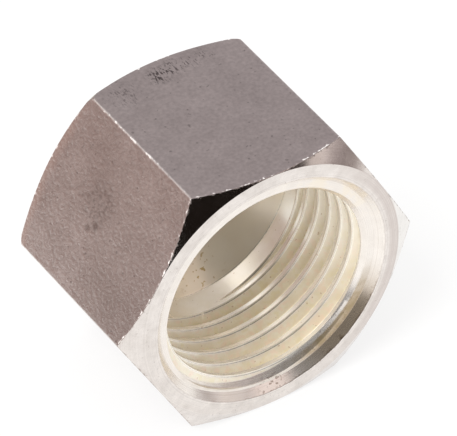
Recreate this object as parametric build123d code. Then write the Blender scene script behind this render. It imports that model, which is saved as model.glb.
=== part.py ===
"""Union nut of a 24 degree cutting ring tube fitting, light series, for 12 mm tube.

The nut lies on one of its six flats. Its axis runs along Y, with the threaded mouth
facing -Y and the tube hole at +Y. The origin is on the surface it lies on, under the
middle of the nut. All sizes are in millimetres.
"""
import math
import os

from build123d import *

# Outside
across_flats = 22.0            # spanner size
nut_length = 15.5              # over the two end faces
end_ring_inset = 0.05          # from each flat to the outer edge of the end faces' rings
corner_chamfer_angle = 30.0    # measured from the end face

# Mouth and thread M18 x 1.5, right-hand
thread_wall = 2.0              # metal between the thread's outside diameter and each flat
thread_pitch = 1.5
flank_angle = 60.0             # between the two flanks of the groove
mouth_margin = 0.85            # mouth beyond the thread's outside radius, at the end face
mouth_chamfer = 0.55           # 45 degree chamfer from the end face down to a flat step
start_chamfer = 0.35           # 45 degree chamfer from the step to the thread's crests
thread_lead_in = 1.41          # from the groove's first point, out in front, to the mouth's face
run_out = 0.6                  # depth over which the groove dies away at its end
plain_bore = 1.1               # between the groove's end and the seat

# Seat and tube hole
shoulder_depth = 10.64         # from the mouth's face to the wide end of the seat
shoulder_angle = 90.0          # cone that presses on the cutting ring, side to side
tube_diameter = 12.0
tube_clearance = 0.2           # on the diameter
hole_edge_break = 0.3          # small chamfer where the tube leaves

# Radii and depths that follow from these sizes
thread_diameter = across_flats - 2 * thread_wall
crest_radius = (thread_diameter - thread_pitch) / 2     # bored to the usual tapping size
root_radius = thread_diameter / 2
root_half = thread_pitch / 16
flank_slope = math.tan(math.radians(flank_angle / 2))
corner_radius = across_flats / 2 / math.cos(math.radians(30.0))
turning_radius = corner_radius + 1.0
ring_radius = across_flats / 2 - end_ring_inset
chamfer_run = (turning_radius - ring_radius) * math.tan(math.radians(corner_chamfer_angle))
mouth_radius = root_radius + mouth_margin
hole_radius = (tube_diameter + tube_clearance) / 2
shoulder_run = (crest_radius - hole_radius) / math.tan(math.radians(shoulder_angle / 2))
groove_end = shoulder_depth - plain_bore - run_out
groove_overlap = 0.2           # how far the cutter for the groove reaches in past the crests


def turned(points):
    """A solid of revolution about Z, from (radius, depth) points in order."""
    outline = make_face(Polyline(*[(radius, 0, depth) for radius, depth in points], close=True))
    return revolve(outline, axis=Axis.Z)


def groove_cutter(depth, rise, turn, cone_angle=0.0):
    """The thread's groove along a helix that starts at this depth and this many degrees from +X."""
    inner_radius = crest_radius - groove_overlap
    inner_half = root_half + (root_radius - inner_radius) * flank_slope
    section = make_face(Polyline(
        (inner_radius, 0, -inner_half),
        (root_radius, 0, -root_half),
        (root_radius, 0, root_half),
        (inner_radius, 0, inner_half),
        close=True,
    ))
    path = Helix(thread_pitch, rise, crest_radius, cone_angle=cone_angle)
    return Pos(0, 0, depth) * Rot(Z=turn) * sweep(section, path=path, is_frenet=True)


# Hexagon bar, with its corners turned off at both ends
bar = extrude(RegularPolygon(across_flats / 2, 6, major_radius=False), nut_length)
blank = bar & turned([
    (0, 0),
    (ring_radius, 0),
    (turning_radius, chamfer_run),
    (turning_radius, nut_length - chamfer_run),
    (ring_radius, nut_length),
    (0, nut_length),
])

# Stepped mouth, bore at the thread's crests, seat for the cutting ring, tube hole
bore = turned([
    (0, 0),
    (mouth_radius, 0),
    (mouth_radius - mouth_chamfer, mouth_chamfer),
    (crest_radius + start_chamfer, mouth_chamfer),
    (crest_radius, mouth_chamfer + start_chamfer),
    (crest_radius, shoulder_depth),
    (hole_radius, shoulder_depth + shoulder_run),
    (hole_radius, nut_length - hole_edge_break),
    (hole_radius + hole_edge_break, nut_length),
    (0, nut_length),
])
nut = blank - bore

# The groove winds in from outside the mouth, and at its end it is drawn in until it dies away
groove_rise = thread_lead_in + groove_end
groove_turn = 360 * groove_rise / thread_pitch
closing_angle = math.degrees(math.atan((root_radius - crest_radius + groove_overlap / 2) / run_out))
nut -= groove_cutter(-thread_lead_in, groove_rise, 0.0)
nut -= groove_cutter(groove_end, run_out, groove_turn, cone_angle=-closing_angle)

# Laid on a flat, mouth to -Y
nut = Pos(0, -nut_length / 2, across_flats / 2) * Rot(X=-90) * nut
nut.label = "union_nut"

os.makedirs("parts", exist_ok=True)
export_step(nut, "parts/union_nut.step")
print("union_nut", round(nut.volume, 1), "mm3", nut.bounding_box())
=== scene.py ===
"""Union nut of a tube fitting, lying on one flat with its threaded mouth to the front.

The nut is machined here as it is in the shop: a hexagon bar, its corners turned off, the
bore turned out, the thread cut with a helical cutter that is drawn back at its end. It is
modelled in millimetres, with depths measured from the mouth's end face, and brought to
metres at the end.
"""
import math

import bpy
from mathutils import Matrix, Vector, noise


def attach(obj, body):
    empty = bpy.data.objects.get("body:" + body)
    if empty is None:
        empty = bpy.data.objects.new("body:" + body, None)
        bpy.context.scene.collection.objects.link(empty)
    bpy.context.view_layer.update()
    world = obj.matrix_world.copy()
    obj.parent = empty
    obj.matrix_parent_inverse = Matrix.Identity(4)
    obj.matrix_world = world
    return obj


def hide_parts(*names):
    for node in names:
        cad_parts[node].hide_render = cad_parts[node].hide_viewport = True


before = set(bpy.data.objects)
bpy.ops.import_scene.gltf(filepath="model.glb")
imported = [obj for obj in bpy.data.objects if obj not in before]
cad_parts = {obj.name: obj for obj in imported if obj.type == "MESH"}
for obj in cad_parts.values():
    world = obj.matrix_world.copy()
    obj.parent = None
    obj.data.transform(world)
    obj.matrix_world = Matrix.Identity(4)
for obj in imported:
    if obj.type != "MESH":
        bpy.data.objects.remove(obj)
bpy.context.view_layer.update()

# Sizes of the nut, in millimetres
ACROSS_FLATS = 22.0
LENGTH = 15.5
RING_RADIUS = 10.95
CORNER_RADIUS = ACROSS_FLATS / 2 / math.cos(math.radians(30))
CHAMFER = math.tan(math.radians(30))
CREST = 8.25
PITCH = 1.5
FIRST_GROOVE = 0.33
GROOVE_ANGLE = -57.2
FLANK = math.tan(math.radians(30))
RUN_OUT = 0.974
RUN_OUT_START = 8.94
RUN_OUT_END = 9.53
MOUTH = 9.85
STEP = 9.30
STEP_DEPTH = 0.55
START_CHAMFER = 0.35
HOLE = 6.1
HOLE_EDGE = 0.3
SHOULDER = 10.64
AXIS_HEIGHT = ACROSS_FLATS / 2
FRONT = -LENGTH / 2
TURN_STEPS = 180
TURNS_OF_THREAD = 7.2
THREAD_BACK = 9.6

# Wear, in millimetres
SOFT_LONG_EDGE = 0.07
WORN_EDGE = 0.02
WORN_CREST = 0.032
TORN = 0.012

# Places on the nut: side, depth from the mouth's face, height from the axis
GROOVE_END = (0.82, 8.96, -8.21)
SEAT_FLECKS = (0.9, 11.7, -7.0)
# Centre of the painted shade low at the right of the mouth
MOUTH_SHADE_SPOT = (6.65, 0.4, -6.65)
MOUTH_SPOTS = (0.2, 0.3, -9.8)
DULL_PATCH = (-9.6, 1.5, -1.0)
SMUDGE = (-9.2, 9.0, 6.0)

# Two spots below the smudge: place, size, raggedness, strength
SPOTS = (
    ((-9.96, 8.28, 4.75), 0.42, 0.2, 0.45),
    ((-10.23, 8.96, 4.29), 0.36, 0.3, 0.35),
)

# Scuffs at the back of the upper flat: place, size, raggedness, thinness, softness, strength
SCUFFS = (
    ((-0.9, 13.9, 11.0), 1.3, 0.9, 0.54, 0.02, 1.0),
    ((0.5, 14.2, 11.0), 1.2, 0.9, 0.57, 0.02, 0.8),
    ((1.9, 14.2, 11.0), 1.1, 0.9, 0.60, 0.02, 0.8),
    ((3.1, 14.2, 11.0), 1.0, 0.9, 0.63, 0.02, 0.8),
    ((-4.3, 13.4, 11.0), 1.9, 1.2, 0.59, 0.03, 0.5),
)

# Folds of the tent from the floor up: share of their height, colour
FOLDS = (
    (0.11, (240, 234, 232)), (0.18, (218, 210, 208)), (0.24, (186, 177, 175)), (0.32, (164, 153, 151)),
    (0.40, (160, 149, 147)), (0.48, (146, 134, 133)), (0.56, (168, 156, 156)), (0.62, (182, 170, 169)),
    (0.67, (232, 221, 219)), (0.77, (236, 225, 221)), (0.95, (214, 203, 198)),
)

# The tent in metres; the card behind the hole in millimetres from the middle of the floor
TENT_RADIUS = 0.1
CARD_SIDE, CARD_BACK, CARD_HEIGHT = 5.0, 12.5, 13.0
CARD_WIDTH, CARD_TALL = 24.0, 16.0

# The camera, fitted to the photograph: its place in metres, and its axes
CAMERA_PLACE = (-0.180423, -0.281669, 0.301501)
CAMERA_RIGHT = (0.8412, -0.540722, 0.001533)
CAMERA_UP = (0.35264, 0.550746, 0.756521)
CAMERA_LENS = 475.83


# Modelling helpers

def only(piece):
    """Leaves one piece selected and active."""
    bpy.ops.object.select_all(action="DESELECT")
    piece.select_set(True)
    bpy.context.view_layer.objects.active = piece


def edit(piece, choose="NONE"):
    only(piece)
    bpy.ops.object.mode_set(mode="EDIT")
    bpy.ops.mesh.select_mode(type="VERT")
    bpy.ops.mesh.select_all(action="SELECT" if choose == "ALL" else "DESELECT")


def leave_edit():
    bpy.ops.object.mode_set(mode="OBJECT")


def pick(piece, kind, test):
    """Selects the faces or edges of a piece that pass a test."""
    only(piece)
    bpy.ops.object.mode_set(mode="EDIT")
    bpy.ops.mesh.select_mode(type="FACE" if kind == "faces" else "EDGE")
    bpy.ops.mesh.select_all(action="DESELECT")
    bpy.ops.object.mode_set(mode="OBJECT")
    mesh = piece.data
    if kind == "faces":
        for face in mesh.polygons:
            face.select = bool(test(face.center, face.normal))
    else:
        for edge in mesh.edges:
            ends = [mesh.vertices[i].co for i in edge.vertices]
            edge.select = bool(test(*ends))
    bpy.ops.object.mode_set(mode="EDIT")


def apply(piece, kind, **settings):
    """Adds a modifier with these settings and applies it."""
    only(piece)
    step = piece.modifiers.new(kind.title(), kind)
    for name, value in settings.items():
        setattr(step, name, value)
    bpy.ops.object.modifier_apply(modifier=step.name)


def chain(name, points, closed=False):
    """A chain of edges through (radius, depth) points, in the plane of X and Y."""
    bpy.ops.object.select_all(action="DESELECT")
    bpy.ops.mesh.primitive_plane_add(size=1, location=(0, 0, 0))
    piece = bpy.context.object
    piece.name = name
    edit(piece, "ALL")
    bpy.ops.mesh.merge(type="CENTER")
    bpy.ops.mesh.select_all(action="SELECT")
    last = (0.0, 0.0)
    for place, (radius, depth) in enumerate(points):
        step = (radius - last[0], depth - last[1], 0)
        if place == 0:
            bpy.ops.transform.translate(value=step)
        else:
            bpy.ops.mesh.extrude_vertices_move(TRANSFORM_OT_translate={"value": step})
        last = (radius, depth)
    if closed:
        leave_edit()
        ends = (0, len(points) - 1)
        for vertex in piece.data.vertices:
            vertex.select = vertex.index in ends
        bpy.ops.object.mode_set(mode="EDIT")
        bpy.ops.mesh.edge_face_add()
    leave_edit()
    return piece


def turned(name, points, steps=TURN_STEPS):
    """A solid turned about the Y axis from (radius, depth) points that start and end on it."""
    piece = chain(name, points)
    edit(piece, "ALL")
    bpy.ops.mesh.spin(steps=steps, angle=math.tau, center=(0, 0, 0), axis=(0, 1, 0))
    bpy.ops.mesh.select_all(action="SELECT")
    bpy.ops.mesh.remove_doubles(threshold=0.0005)
    bpy.ops.mesh.normals_make_consistent(inside=False)
    leave_edit()
    return piece


def rounded(points, sizes, steps=4):
    """The same (radius, depth) points with arcs of the given sizes at their corners."""
    out = []
    for place, point in enumerate(points):
        size = sizes.get(place, 0)
        if not size:
            out.append(point)
            continue
        here = Vector(point)
        before = (Vector(points[place - 1]) - here).normalized()
        after = (Vector(points[place + 1]) - here).normalized()
        half = before.angle(after) / 2
        run = size / math.tan(half)
        start = here + before * run
        end = here + after * run
        for step in range(steps + 1):
            t = step / steps
            bend = (1 - t) ** 2 * start + 2 * t * (1 - t) * here + t ** 2 * end
            out.append((bend.x, bend.y))
    return out


def cut(piece, tool, operation="DIFFERENCE"):
    apply(piece, "BOOLEAN", object=tool, operation=operation, solver="EXACT")
    only(tool)
    bpy.ops.object.delete()


# Shader helpers

class Value:
    """The output of a node; Python's operators on it add Math nodes."""

    def __init__(self, finish, socket):
        self.finish = finish
        self.socket = socket

    def worked(self, operation, *others, clamp=False):
        inputs = {0: self}
        inputs.update({place + 1: other for place, other in enumerate(others)})
        return self.finish.node("ShaderNodeMath", {"operation": operation, "use_clamp": clamp}, inputs)

    def after(self, operation, first):
        return self.finish.node("ShaderNodeMath", {"operation": operation}, {0: first, 1: self})

    def __add__(self, other):
        return self.worked("ADD", other)

    __radd__ = __add__

    def __sub__(self, other):
        return self.worked("SUBTRACT", other)

    def __rsub__(self, other):
        return self.after("SUBTRACT", other)

    def __mul__(self, other):
        return self.worked("MULTIPLY", other)

    __rmul__ = __mul__

    def __truediv__(self, other):
        return self.worked("DIVIDE", other)

    def __rtruediv__(self, other):
        return self.after("DIVIDE", other)

    def __pow__(self, other):
        return self.worked("POWER", other)

    def clamped(self):
        return self.worked("ADD", 0.0, clamp=True)

    def ramped(self, low, high):
        """0 below low, 1 above high, smooth between them."""
        return self.finish.node(
            "ShaderNodeMapRange",
            {"interpolation_type": "SMOOTHSTEP"},
            {"Value": self, "From Min": low, "From Max": high},
        )

    def between(self, low, full, fading, high):
        """1 from full to fading, smoothly down to 0 at low and at high."""
        return self.ramped(low, full) * (1 - self.ramped(fading, high))


class Finish:
    """A material, built node by node."""

    def __init__(self, name):
        self.material = bpy.data.materials.new(name)
        self.material.use_nodes = True
        self.tree = self.material.node_tree
        self.tree.nodes.clear()
        self.place = None

    def node(self, kind, settings=None, inputs=None, output=0):
        step = self.tree.nodes.new(kind)
        for name, value in (settings or {}).items():
            if name == "stops":
                ramp = step.color_ramp
                while len(ramp.elements) > len(value):
                    ramp.elements.remove(ramp.elements[-1])
                while len(ramp.elements) < len(value):
                    ramp.elements.new(1.0)
                for element, (at, colour) in zip(ramp.elements, value):
                    element.position = at
                    element.color = (*colour, 1.0)
            else:
                setattr(step, name, value)
        for name, value in (inputs or {}).items():
            if isinstance(value, Value):
                self.tree.links.new(value.socket, step.inputs[name])
            else:
                step.inputs[name].default_value = value
        return Value(self, step.outputs[output]) if step.outputs else step

    def spot(self):
        """Object coordinates."""
        if self.place is None:
            self.place = self.node("ShaderNodeTexCoord", output="Object")
        return self.place

    def axes(self):
        parts = self.node("ShaderNodeSeparateXYZ", {}, {0: self.spot()})
        split = parts.socket.node
        return [Value(self, split.outputs[i]) for i in range(3)]

    def moved(self, scale, turn):
        """Object coordinates, stretched and turned."""
        inputs = {"Vector": self.spot(), "Scale": scale, "Rotation": turn}
        return self.node("ShaderNodeMapping", {}, inputs)

    def grain(self, scale, detail=2.0, rough=0.5, at=None):
        inputs = {"Vector": at or self.spot(), "Scale": scale, "Detail": detail, "Roughness": rough}
        return self.node("ShaderNodeTexNoise", {}, inputs)

    def blend(self, mask, first, second):
        inputs = {0: mask, 6: first, 7: second}
        return self.node("ShaderNodeMix", {"data_type": "RGBA"}, inputs, output=2)

    def bump(self, height, strength, distance):
        inputs = {"Height": height, "Strength": strength, "Distance": distance}
        return self.node("ShaderNodeBump", {}, inputs)

    def metal(self, colour, rough, normal, metallic=1.0):
        shader = self.node("ShaderNodeBsdfPrincipled", {}, {
            "Base Color": colour, "Metallic": metallic, "Roughness": rough, "Normal": normal,
        })
        return self.finished(shader)

    def finished(self, shader):
        self.node("ShaderNodeOutputMaterial", {}, {"Surface": shader})
        return self.material


def tone(red, green, blue):
    """A colour written as it looks, 0 to 255, as the shader's linear values."""
    def linear(level):
        level = level / 255
        return level / 12.92 if level <= 0.04045 else ((level + 0.055) / 1.055) ** 2.4
    return (linear(red), linear(green), linear(blue), 1.0)


# Finishes of the nut

class NutFinish(Finish):
    """A finish of the nut, with its own places: radius, depth and height in millimetres."""

    def __init__(self, name):
        super().__init__(name)
        x, y, z = self.axes()
        self.side = x * 1000
        self.depth = y * 1000 - FRONT
        self.height = z * 1000 - AXIS_HEIGHT
        self.radius = (self.side * self.side + self.height * self.height).worked("SQRT")

    def flat_gap(self):
        """Distance in from the nearest of the six flats."""
        rise = self.height * 0.5
        slant = self.side * math.cos(math.radians(30))
        apothem = self.height.worked("ABSOLUTE")
        for reach in (slant + rise, slant - rise):
            apothem = apothem.worked("MAXIMUM", reach.worked("ABSOLUTE"))
        return ACROSS_FLATS / 2 - apothem

    def near(self, place, size, ragged=0.0):
        """1 at a place given as side, depth and height, fading to 0 at this distance from it."""
        x, depth, height = place
        gap = (self.side - x) ** 2 + (self.depth - depth) ** 2 + (self.height - height) ** 2
        distance = gap.worked("SQRT")
        if ragged:
            distance = distance + (self.grain(1500, 2.0) - 0.5) * ragged
        return 1 - distance.ramped(size * 0.25, size)

    def rings(self, scale, detail=3.0, at=None):
        """Noise in rings about the axis, as a turning tool leaves it."""
        inputs = {"W": at or self.radius, "Scale": scale, "Detail": detail}
        return self.node("ShaderNodeTexNoise", {"noise_dimensions": "1D"}, inputs)

    def specks(self, scale, share):
        """1 in small scattered spots that cover roughly this share of the surface."""
        return self.grain(scale, 1.0).ramped(0.72 - share, 0.76 - share)


def hexagon_finish():
    """Nickel over the bar's drawn skin: matte, pitted, rubbed bright along the edges in places, with
    painted highlights there.
    """
    f = NutFinish("nickel on drawn flats")
    pits = f.grain(3400, 3.0, 0.6)
    cloud = f.grain(420, 3.0, 0.55)
    wide = f.grain(130, 2.0, 0.5)
    upper = (f.height / f.radius).ramped(0.855, 0.875)
    shade = (pits - 0.5) * 0.95 + (cloud - 0.5) * 0.5 + (wide - 0.5) * 0.4
    colour = f.blend((shade + 0.5).clamped(), tone(178, 169, 165), tone(232, 223, 219))
    dull = f.near(DULL_PATCH, 9.0) * (1 - f.height.ramped(5.0, 9.0))
    colour = f.blend(dull * 0.4, colour, tone(150, 138, 132))

    # A darker smudge and spots on one flat, scuffs along the back edge of the flat beside it
    dashes = f.grain(4200, 2.0, at=f.moved(scale=(1.9, 0.8, 1.0), turn=(0, 0, 0.7)))
    smudge = f.near(SMUDGE, 2.4, 1.4) * (0.16 + dashes.ramped(0.42, 0.62) * 0.28)
    for place, size, ragged, strength in SPOTS:
        smudge = smudge + f.near(place, size, ragged) * strength
    colour = f.blend(smudge.clamped(), colour, tone(108, 92, 84))
    scuffs = 0
    for place, size, ragged, thin, soft, strength in SCUFFS:
        scuffs = scuffs + f.near(place, size, ragged) * dashes.ramped(thin - soft, thin + soft) * strength
    colour = f.blend(scuffs.clamped() * 0.8, colour, tone(66, 58, 56))
    stray = f.specks(2600, 0.004) * 0.4
    colour = f.blend(stray, colour, tone(92, 80, 74))

    # Long edges rubbed bright in places, and a torn burr where the chamfer was turned; their white colour
    # with less shine is partly wear and partly painted highlight, strongest on the upper left edge, and
    # the burr's bright bits are painted glints
    rub = f.radius + (f.grain(2600, 3.0, 0.7) - 0.5) * 0.12
    crumbs = f.grain(2300, 2.0, 0.6)
    bits = crumbs.ramped(0.49, 0.57)
    few = crumbs.ramped(0.55, 0.62)
    upper_left = f.height.ramped(8.0, 10.0) * (1 - f.side.ramped(-3.0, 0.0))
    wear_and_highlight = (rub + upper_left * 0.015).ramped(12.64, 12.69) * (0.22 + few * upper_left * 0.6)
    chamfer = (f.radius - RING_RADIUS) * CHAMFER
    front = f.depth - chamfer
    rear = LENGTH - f.depth - chamfer
    torn = front.worked("MINIMUM", rear + 0.08) + (f.grain(3200, 2.0, 0.6) - 0.5) * 0.8
    painted_edge = (1 - torn.ramped(0.0, 0.15)) * bits
    rosy = (1 - (rear + (cloud - 0.5) * 1.2).ramped(0.1, 1.1)) * (1 - f.side.ramped(-8.0, -6.0))
    colour = f.blend(rosy * 0.4, colour, tone(238, 216, 206))
    # Painted highlight: the bright edges and burr bits turn white and lose most of their shine
    bright = wear_and_highlight.worked("MAXIMUM", painted_edge)
    colour = f.blend(bright, colour, tone(255, 250, 246))

    rough = 0.40 + (cloud - 0.5) * 0.12 - bright * 0.14
    depth = 1.0 - upper * 0.72
    normal = f.bump(pits * depth, 0.58, 0.0001)
    return f.metal(colour, rough, normal, 1 - bright * 0.7)


def turned_finish():
    """Turned end faces and chamfers: bright, with fine rings left by the tool and small dents."""
    f = NutFinish("nickel on turned faces")
    rings = f.rings(9.0, at=f.radius + f.grain(300, 2.0) * 0.05)
    cloud = f.grain(500, 3.0)
    patches = f.grain(1200, 2.0, 0.5)
    frost = f.grain(5200, 3.0, 0.7)
    shade = (rings - 0.5) * 0.4 + (cloud - 0.5) * 0.5 + (patches - 0.5) * 0.7 + (frost - 0.5) * 0.35
    colour = f.blend((shade + 0.5).clamped(), tone(204, 196, 190), tone(247, 241, 236))

    # The ring darker in streaks at the right, and a painted highlight on its corner beyond them
    corner = f.radius.ramped(RING_RADIUS + 0.02, RING_RADIUS + 0.15)
    streaks = f.radius.ramped(10.1, 10.4) * (0.35 + rings.ramped(0.40, 0.55) * 0.5)
    colour = f.blend(f.side.ramped(5.0, 9.5) * (1 - corner) * streaks, colour, tone(206, 196, 191))
    # Painted highlight on the ring's corner at the far right
    colour = f.blend(f.side.ramped(9.0, 11.0) * corner * 0.45, colour, tone(246, 247, 245))

    dents = f.specks(3600, 0.03) * 0.3
    colour = f.blend(dents, colour, tone(170, 158, 150))

    # The ring's inner edge is torn, mostly at the foot of the mouth
    foot = 1 - f.height.ramped(-9.0, -2.0)
    right = f.side.ramped(-4.0, 3.0)
    edge = 1 - (f.radius + (f.grain(2400, 3.0, 0.7) - 0.5) * 0.35).ramped(9.84, 9.90)
    torn = edge * (0.15 + foot * right * 0.85) * 0.75
    colour = f.blend(torn.clamped(), colour, tone(128, 110, 98))

    # Where chamfer and flat meet, the metal is torn and smeared
    chipped = f.flat_gap() + (f.grain(3000, 3.0, 0.7) - 0.5) * 0.7
    chipped = (1 - chipped.ramped(0.0, 0.05)) * f.radius.ramped(RING_RADIUS + 0.03, RING_RADIUS + 0.08)
    colour = f.blend(chipped * 0.6, colour, tone(172, 158, 152))

    rough = 0.15 + (cloud - 0.5) * 0.08 + (frost - 0.5) * 0.06 + chipped * 0.35
    normal = f.bump(rings * 0.6 + frost * 0.4, 0.3, 0.000012)
    return f.metal(colour, rough, normal)


def inside_finish():
    """Mouth, thread and seat: turned bright at the mouth, milky and yellower down in the thread."""
    f = NutFinish("plating inside the nut")
    across = f.grain(900, 3.0, 0.6)
    hue = f.grain(330, 2.0, 0.5)
    in_thread = f.depth.ramped(0.84, 0.94)
    in_seat = f.depth.ramped(SHOULDER, SHOULDER + 0.1)

    # Mouth: rings of the tool, painted shade low at the right and in the corner of the step, a torn lip
    rings = f.rings(14.0)
    lines = f.rings(60.0, 2.0)
    on_step = f.radius.between(8.55, 8.65, 9.22, STEP) * f.side.ramped(0.0, 4.0)
    shade = (rings - 0.5) * 0.9 + (across - 0.5) * 0.8 + (lines - 0.5) * on_step * 1.4 + 0.5
    mouth = f.blend(shade.clamped(), tone(226, 218, 210), tone(250, 245, 239))
    cream = f.height.ramped(2.0, 6.0) * f.side.ramped(0.0, 5.0) * across.ramped(0.42, 0.60)
    mouth = f.blend(cream * 0.5, mouth, tone(240, 228, 206))
    foot = 1 - f.height.ramped(-8.0, -1.0)
    # Painted shade: the mouth low at the right made darker and browner; it also deepens the step's corner
    # and the lip there
    low_right_shade = f.near(MOUTH_SHADE_SPOT, 6.0)
    mouth = f.blend(low_right_shade * f.radius.ramped(8.55, 8.62), mouth, tone(194, 178, 158))
    # Painted shade in the corner of the step, stronger in the lower half
    corner = f.radius.between(8.45, 8.65, 9.15, 9.35)
    corner_shade = corner * (foot * 0.22 + low_right_shade * 0.6) * (0.45 + f.grain(1300, 3.0).ramped(0.35, 0.65) * 0.55)
    mouth = f.blend(corner_shade.clamped(), mouth, tone(164, 144, 108))
    foot_right = foot * f.side.ramped(-4.0, 3.0)
    lip = (f.radius + (f.grain(2400, 3.0, 0.7) - 0.5) * 0.6).ramped(9.78, 9.86)
    lip = lip * (0.1 + foot_right * 0.2 + low_right_shade * 0.4)
    spots = f.specks(3000, 0.045) * foot_right * 0.35
    spots = spots + f.near(MOUTH_SPOTS, 1.6, 0.8) * f.specks(3400, 0.14) * 0.6
    mouth = f.blend((lip + spots).clamped(), mouth, tone(122, 98, 76))

    # Thread: bright crests with a painted dark reflection along their edges, grooves with a breath of
    # gold, the right wall painted lighter
    milky = (across * 0.5 + hue * 0.5).ramped(0.35, 0.65)
    pale = f.blend(milky, tone(244, 238, 226), tone(251, 247, 240))
    gold = f.blend(across.ramped(0.3, 0.7), tone(240, 231, 210), tone(249, 243, 227))
    tint = f.grain(1500, 2.0, 0.5)
    gold = f.blend(tint.ramped(0.52, 0.64) * 0.6, gold, tone(248, 230, 212))
    gold = f.blend((1 - tint).ramped(0.54, 0.66) * 0.5, gold, tone(238, 229, 194))
    sunk = f.radius.ramped(CREST + 0.02, CREST + 0.30)
    thread = f.blend(sunk, pale, gold)
    # Painted light: the thread on the right wall is made lighter and whiter, and less metallic
    painted_light_right = f.side.ramped(5.0, 8.0) * f.height.ramped(-6.0, -0.5)
    thread = f.blend(painted_light_right * 0.6, thread, tone(253, 248, 236))
    painted_edge = f.radius.between(CREST + 0.004, CREST + 0.012, CREST + 0.03, CREST + 0.08)
    # Painted reflection: a dark line along the crest edges, stronger at the right
    thread = f.blend(painted_edge * f.side.ramped(-3.0, 4.0) * across * 0.8, thread, tone(150, 126, 100))
    thread = f.blend(f.specks(3600, 0.004) * 0.5, thread, tone(176, 138, 96))

    # Seat: smooth, with a few yellow flecks low down
    seat = f.blend(hue.ramped(0.3, 0.7), tone(240, 229, 210), tone(246, 237, 221))
    flecks = f.near(SEAT_FLECKS, 2.8, 2.0) * f.specks(3000, 0.10)
    seat = f.blend(flecks.clamped() * 0.8, seat, tone(186, 158, 88))

    # The crests' worn edges are dull at the left; in the grooves and the seat the plating hides
    # more of the metal's shine
    colour = f.blend(in_seat, f.blend(in_thread, mouth, thread), seat)
    rough_mouth = 0.22 + (across - 0.5) * 0.12 + corner_shade * 0.12
    dulled = painted_edge * (1 - f.side.ramped(-1.0, 5.0) * 0.7)
    rough_thread = 0.22 + (across - 0.5) * 0.1 + sunk * 0.18 + dulled * 0.3
    rough = rough_mouth + (rough_thread - rough_mouth) * in_thread
    rough = rough + (0.30 - rough) * in_seat
    plated = in_thread * (0.06 + sunk * 0.32 + dulled * 0.35 * (1 - sunk)) + in_seat * 0.22
    plated = plated + painted_light_right * in_thread * (1 - in_seat) * 0.18
    in_hole = f.depth.ramped(12.9, 13.4)
    metallic = 0.78 - plated + in_hole * 0.3
    normal = f.bump(rings * (0.5 - in_thread * 0.5) + across * 0.5, 0.3, 0.00002)
    return f.metal(colour, rough, normal, metallic)


# The nut

def off_axis(place):
    """Distance of a place from the nut's axis."""
    return math.hypot(place.x, place.z)


def hexagon_bar():
    """The bar as drawn, longer than the nut, its long edges a little soft."""
    bpy.ops.object.select_all(action="DESELECT")
    bpy.ops.mesh.primitive_cylinder_add(
        vertices=6, radius=CORNER_RADIUS, depth=LENGTH + 4, location=(0, LENGTH / 2, 0),
        rotation=(math.radians(90), 0, 0),
    )
    bar = bpy.context.object
    bar.name = "union_nut_turned"
    bpy.ops.object.transform_apply(location=True, rotation=True, scale=True)
    edit(bar, "ALL")
    bpy.ops.transform.rotate(
        value=math.radians(30), orient_axis="Y", orient_type="GLOBAL", center_override=(0, 0, 0)
    )
    leave_edit()
    pick(bar, "edges", lambda a, b: abs(a.y - b.y) > LENGTH)
    bpy.ops.mesh.bevel(offset=SOFT_LONG_EDGE, segments=3, profile=0.5, affect="EDGES")
    leave_edit()
    return bar


def corner_tool():
    """What is left of the bar after both ends are faced and their corners turned off.

    At the back the chamfer runs out to the corners in a slight curve.
    """
    reach = CORNER_RADIUS + 1.5
    run = (reach - RING_RADIUS) * CHAMFER
    profile = [
        (0, 0), (RING_RADIUS, 0), (reach, run),
        (reach, LENGTH - 2), (12.70, LENGTH - 1.55), (12.61, LENGTH - 1.10),
        (12.42, LENGTH - (12.42 - RING_RADIUS) * CHAMFER), (RING_RADIUS, LENGTH), (0, LENGTH),
    ]
    return turned("corner_tool", rounded(profile, {1: 0.12, 7: 0.12}), steps=TURN_STEPS * 4)


def boring_tool():
    """Countersunk mouth with its step, thread bore, seat and tube hole."""
    profile = [
        (0, -1), (MOUTH + 1, -1), (STEP, STEP_DEPTH),
        (CREST + START_CHAMFER, STEP_DEPTH), (CREST, STEP_DEPTH + START_CHAMFER),
        (CREST, SHOULDER), (HOLE, SHOULDER + CREST - HOLE), (HOLE, LENGTH - HOLE_EDGE),
        (HOLE + HOLE_EDGE + 1, LENGTH + 1), (0, LENGTH + 1),
    ]
    return turned("boring_tool", rounded(profile, {2: 0.04, 3: 0.03, 4: 0.05, 5: 0.1, 6: 0.12, 7: 0.1}))


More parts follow.
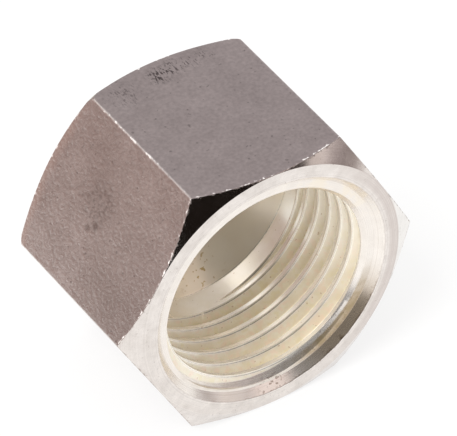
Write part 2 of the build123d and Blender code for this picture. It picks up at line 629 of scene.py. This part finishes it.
def thread_tool():
    """Helical cutter of the thread, drawn back along its front flank over its last part."""
    first = FIRST_GROOVE - PITCH
    flank = [(8.05, -0.694), (8.95, -0.175), (9.05, -0.09)]
    section = flank + [(9.08, 0)] + [(radius, -depth) for radius, depth in reversed(flank)]
    tool = chain("thread_tool", [(radius, depth + first) for radius, depth in section], closed=True)
    tool.data.transform(Matrix.Rotation(math.radians(-GROOVE_ANGLE), 4, "Y"))
    steps = int(TURN_STEPS * TURNS_OF_THREAD)
    apply(
        tool, "SCREW", axis="Y", angle=math.tau * TURNS_OF_THREAD, screw_offset=PITCH * TURNS_OF_THREAD,
        steps=steps, render_steps=steps, iterations=1, use_smooth_shade=False,
    )
    for vertex in tool.data.vertices:
        x, depth, z = vertex.co
        phase = (math.degrees(math.atan2(z, x)) - GROOVE_ANGLE) / 360
        line = FIRST_GROOVE - PITCH * phase
        line += PITCH * round((depth - line) / PITCH)
        drawn = RUN_OUT * max(0.0, (line - RUN_OUT_START) / (RUN_OUT_END - RUN_OUT_START))
        shrink = 1 - drawn / math.hypot(x, z)
        vertex.co = (x * shrink, depth - drawn * FLANK, z * shrink)
    edit(tool)
    bpy.ops.mesh.select_mode(type="EDGE")
    bpy.ops.mesh.select_non_manifold(
        extend=False, use_wire=False, use_multi_face=False, use_non_contiguous=False, use_verts=False
    )
    bpy.ops.mesh.fill()
    bpy.ops.mesh.select_all(action="SELECT")
    bpy.ops.mesh.normals_make_consistent(inside=False)
    leave_edit()
    return tool


def tear_arcs(nut):
    """Leaves the arcs where chamfers and flats meet slightly ragged, as turning a bar does."""
    for vertex in nut.data.vertices:
        x, depth, z = vertex.co
        radius = math.hypot(x, z)
        turn = math.atan2(z, x) % math.radians(60) - math.radians(30)
        under_flat = ACROSS_FLATS / 2 - radius * math.cos(turn)
        under_cone = min(depth, LENGTH - depth) - (radius - RING_RADIUS) * CHAMFER
        if 0.0005 < under_flat < 0.02 and 0.0005 < under_cone < 0.02 and radius > RING_RADIUS + 0.1:
            torn = noise.noise(Vector((x, depth, z)) * 9) * TORN
            vertex.co.y += torn if depth > LENGTH / 2 else -torn
            vertex.co.x *= 1 - abs(torn) / radius
            vertex.co.z *= 1 - abs(torn) / radius


def wear_edges(nut, chosen, size, segments):
    """Rounds the sharp edges that pass a test, but not at the groove's very end, which is finer."""
    end = Vector(GROOVE_END)
    edit(nut)
    bpy.ops.mesh.select_mode(type="EDGE")
    bpy.ops.mesh.edges_select_sharp(sharpness=math.radians(28))
    leave_edit()
    spots = nut.data.vertices
    sharp = []
    for edge in nut.data.edges:
        middle = (spots[edge.vertices[0]].co + spots[edge.vertices[1]].co) / 2
        if edge.select and (middle - end).length > 1.5 and chosen(middle):
            sharp.append(edge.index)
    edit(nut)
    bpy.ops.mesh.select_mode(type="EDGE")
    leave_edit()
    for index in sharp:
        nut.data.edges[index].select = True
    bpy.ops.object.mode_set(mode="EDIT")
    bpy.ops.mesh.bevel(offset=size, segments=segments, profile=0.5, affect="EDGES", clamp_overlap=False)
    leave_edit()


def build_nut():
    nut = hexagon_bar()
    cut(nut, corner_tool(), "INTERSECT")
    cut(nut, boring_tool())
    cut(nut, thread_tool())
    edit(nut, "ALL")
    bpy.ops.mesh.remove_doubles(threshold=0.004)
    leave_edit()
    wear_edges(nut, lambda c: abs(off_axis(c) - CREST) < 0.02 and 1.0 < c.y < THREAD_BACK, WORN_CREST, 3)
    wear_edges(nut, lambda c: off_axis(c) > CREST + 0.1 or c.y > THREAD_BACK, WORN_EDGE, 2)
    tear_arcs(nut)
    edit(nut, "ALL")
    bpy.ops.mesh.dissolve_degenerate(threshold=0.001)
    leave_edit()
    return nut


nut = build_nut()

# Finishes by place: flats, turned faces, inside
for finish in (hexagon_finish(), turned_finish(), inside_finish()):
    nut.data.materials.append(finish)


def dress(place, test):
    pick(nut, "faces", test)
    nut.active_material_index = place
    bpy.ops.object.material_slot_assign()
    leave_edit()


def on_flat(centre, normal):
    return abs(normal.y) < 0.3 and off_axis(centre) > 10.5


def inside(centre, normal):
    return off_axis(centre) < MOUTH - 0.01 and 0.001 < centre.y < LENGTH - 0.001


dress(1, lambda centre, normal: not on_flat(centre, normal))
dress(0, on_flat)
dress(2, inside)

# Smooth faces that keep the large surfaces true up to their worn edges
only(nut)
bpy.ops.object.shade_smooth_by_angle(angle=math.radians(34))
apply(nut, "WEIGHTED_NORMAL", mode="FACE_AREA", weight=90, keep_sharp=True)

# Brought to its place on the floor, in metres
nut.data.transform(Matrix.Scale(0.001, 4) @ Matrix.Translation((0, FRONT, AXIS_HEIGHT)))
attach(nut, "root")
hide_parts("union_nut")


# Studio

def floor_sheet():
    """The white ground, which looks brighter than it lights the nut."""
    bpy.ops.object.select_all(action="DESELECT")
    bpy.ops.mesh.primitive_circle_add(
        vertices=96, radius=0.45, fill_type="NGON", location=(0, 0, -0.00002)
    )
    sheet = bpy.context.object
    sheet.name = "floor_sheet"
    bpy.ops.object.transform_apply(location=True)
    f = Finish("white sheet")
    matte = f.node("ShaderNodeBsdfDiffuse", {}, {"Color": tone(246, 245, 244)})
    glow = f.node("ShaderNodeEmission", {}, {"Color": tone(254, 254, 254), "Strength": 1.0})
    rays = f.node("ShaderNodeLightPath").socket.node.outputs
    seen = Value(f, rays["Is Camera Ray"]) + Value(f, rays["Is Glossy Ray"])
    seen = seen + Value(f, rays["Is Transmission Ray"])
    mixed = f.node("ShaderNodeMixShader", {}, {0: seen.clamped() * 0.75, 1: matte, 2: glow})
    sheet.data.materials.append(f.finished(mixed))


def tent():
    """The studio round the nut: grey cloth, and the dark room seen where the camera stands."""
    bpy.ops.object.select_all(action="DESELECT")
    bpy.ops.mesh.primitive_uv_sphere_add(
        segments=96, ring_count=48, radius=TENT_RADIUS, location=(0, 0, 0)
    )
    cloth = bpy.context.object
    cloth.name = "studio_tent"
    edit(cloth, "ALL")
    bpy.ops.mesh.flip_normals()
    leave_edit()
    f = Finish("grey tent with a dark opening")
    towards = f.node("ShaderNodeVectorMath", {"operation": "NORMALIZE"}, {0: f.spot()})
    split = f.node("ShaderNodeSeparateXYZ", {}, {0: towards}).socket.node
    towards_height = Value(f, split.outputs["Z"])

    def facing(direction):
        unit = Vector(direction).normalized()
        step = f.node("ShaderNodeVectorMath", {"operation": "DOT_PRODUCT"}, {0: towards, 1: unit})
        return Value(f, step.socket.node.outputs["Value"])

    def within(direction, wide, soft):
        """1 up to this many degrees from a direction, fading to 0 over the soft ones beyond."""
        low, high = (math.cos(math.radians(degrees)) for degrees in (wide + soft, wide))
        return facing(direction).ramped(low, high)

    cloth_tone = f.blend(within((0.41, 0.636, 0.654), 30, 50), tone(157, 144, 146), tone(178, 172, 175))
    cloth_tone = f.blend(within((-0.77, 0.64, 0.03), 25, 40), cloth_tone, tone(163, 135, 127))
    cloth_tone = f.blend(within((-0.20, 0.63, 0.76), 7, 9), cloth_tone, tone(255, 250, 245))

    # Soft upright folds of the cloth at the right, which the corner's chamfer mirrors
    stops = [(share, tone(*levels)[:3]) for share, levels in FOLDS]
    folds = f.node("ShaderNodeValToRGB", {"stops": stops}, {0: (towards_height + 0.05) / 0.45})
    colour = f.blend(within((0.76, -0.62, 0.17), 17, 4), cloth_tone, folds)
    for place, wide, soft in (((-0.22, -0.88, 0.42), 33, 5), ((0.47, -0.79, 0.37), 6, 3)):
        colour = f.blend(within(place, wide, soft), colour, tone(26, 21, 18))
    colour = f.blend(within((0.37, -0.69, 0.62), 9, 6), colour, tone(246, 228, 223))
    f.finished(f.node("ShaderNodeEmission", {}, {"Color": colour, "Strength": 1.0}))
    f.material.cycles.emission_sampling = "NONE"
    cloth.data.materials.append(f.material)
    cloth.visible_camera = False
    cloth.visible_shadow = False
    cloth.visible_diffuse = False


def card():
    """A small card behind the tube hole with a white stripe, which gives the glint in the bore."""
    bpy.ops.object.select_all(action="DESELECT")
    bpy.ops.mesh.primitive_plane_add(size=0.001, location=(0, 0, 0))
    sheet = bpy.context.object
    sheet.name = "white_card"
    stand = Matrix.Rotation(math.radians(90), 4, "X") @ Matrix.Diagonal((CARD_WIDTH, CARD_TALL, 1, 1))
    place = Vector((CARD_SIDE, CARD_BACK, CARD_HEIGHT)) / 1000
    sheet.data.transform(Matrix.Translation(place) @ stand)
    f = Finish("white card")
    side, _, height = (axis * 1000 for axis in f.axes())
    stripe = 1 - (side + 0.5).worked("ABSOLUTE").ramped(0.6, 3.8)
    colour = f.blend(stripe, tone(170, 161, 151), tone(255, 250, 245))
    glow = f.node("ShaderNodeEmission", {}, {"Color": colour, "Strength": 1.45})

    # Its edges fade out, or the back face would mirror a hard-edged card
    clear = f.node("ShaderNodeBsdfTransparent")
    across = (side - CARD_SIDE).worked("ABSOLUTE") / (CARD_WIDTH / 2)
    upright = (height - CARD_HEIGHT).worked("ABSOLUTE") / (CARD_TALL / 2)
    edge = across.worked("MAXIMUM", upright)
    f.finished(f.node("ShaderNodeMixShader", {}, {0: edge.ramped(0.7, 1.0), 1: glow, 2: clear}))
    f.material.cycles.emission_sampling = "NONE"
    sheet.data.materials.append(f.material)
    sheet.visible_camera = False
    sheet.visible_shadow = False
    sheet.visible_diffuse = False


def lamp(name, place, size, power):
    light = bpy.data.lights.new(name, "AREA")
    light.shape = "DISK"
    light.size = size
    light.energy = power
    holder = bpy.data.objects.new(name, light)
    bpy.context.collection.objects.link(holder)
    holder.location = place
    holder.rotation_euler = Vector(place).to_track_quat("Z", "Y").to_euler()


floor_sheet()
tent()
card()
lamp("key lamp", (-0.42, -0.14, 0.54), 0.4, 3.0)

world = bpy.data.worlds.new("white room")
bpy.context.scene.world = world
world.use_nodes = True
world.node_tree.nodes["Background"].inputs["Color"].default_value = (1, 1, 1, 1)
world.node_tree.nodes["Background"].inputs["Strength"].default_value = 1.0

camera = bpy.data.cameras.new("camera")
camera.lens = CAMERA_LENS
camera.sensor_width = 36.0
camera.clip_start = 0.01
camera.clip_end = 10
eye = bpy.data.objects.new("camera", camera)
bpy.context.collection.objects.link(eye)
back = Vector(CAMERA_RIGHT).cross(Vector(CAMERA_UP))
turn = Matrix((CAMERA_RIGHT, CAMERA_UP, back)).transposed()
eye.matrix_world = Matrix.Translation(CAMERA_PLACE) @ turn.to_4x4()
bpy.context.scene.camera = eye
bpy.context.scene.view_settings.view_transform = "Standard"
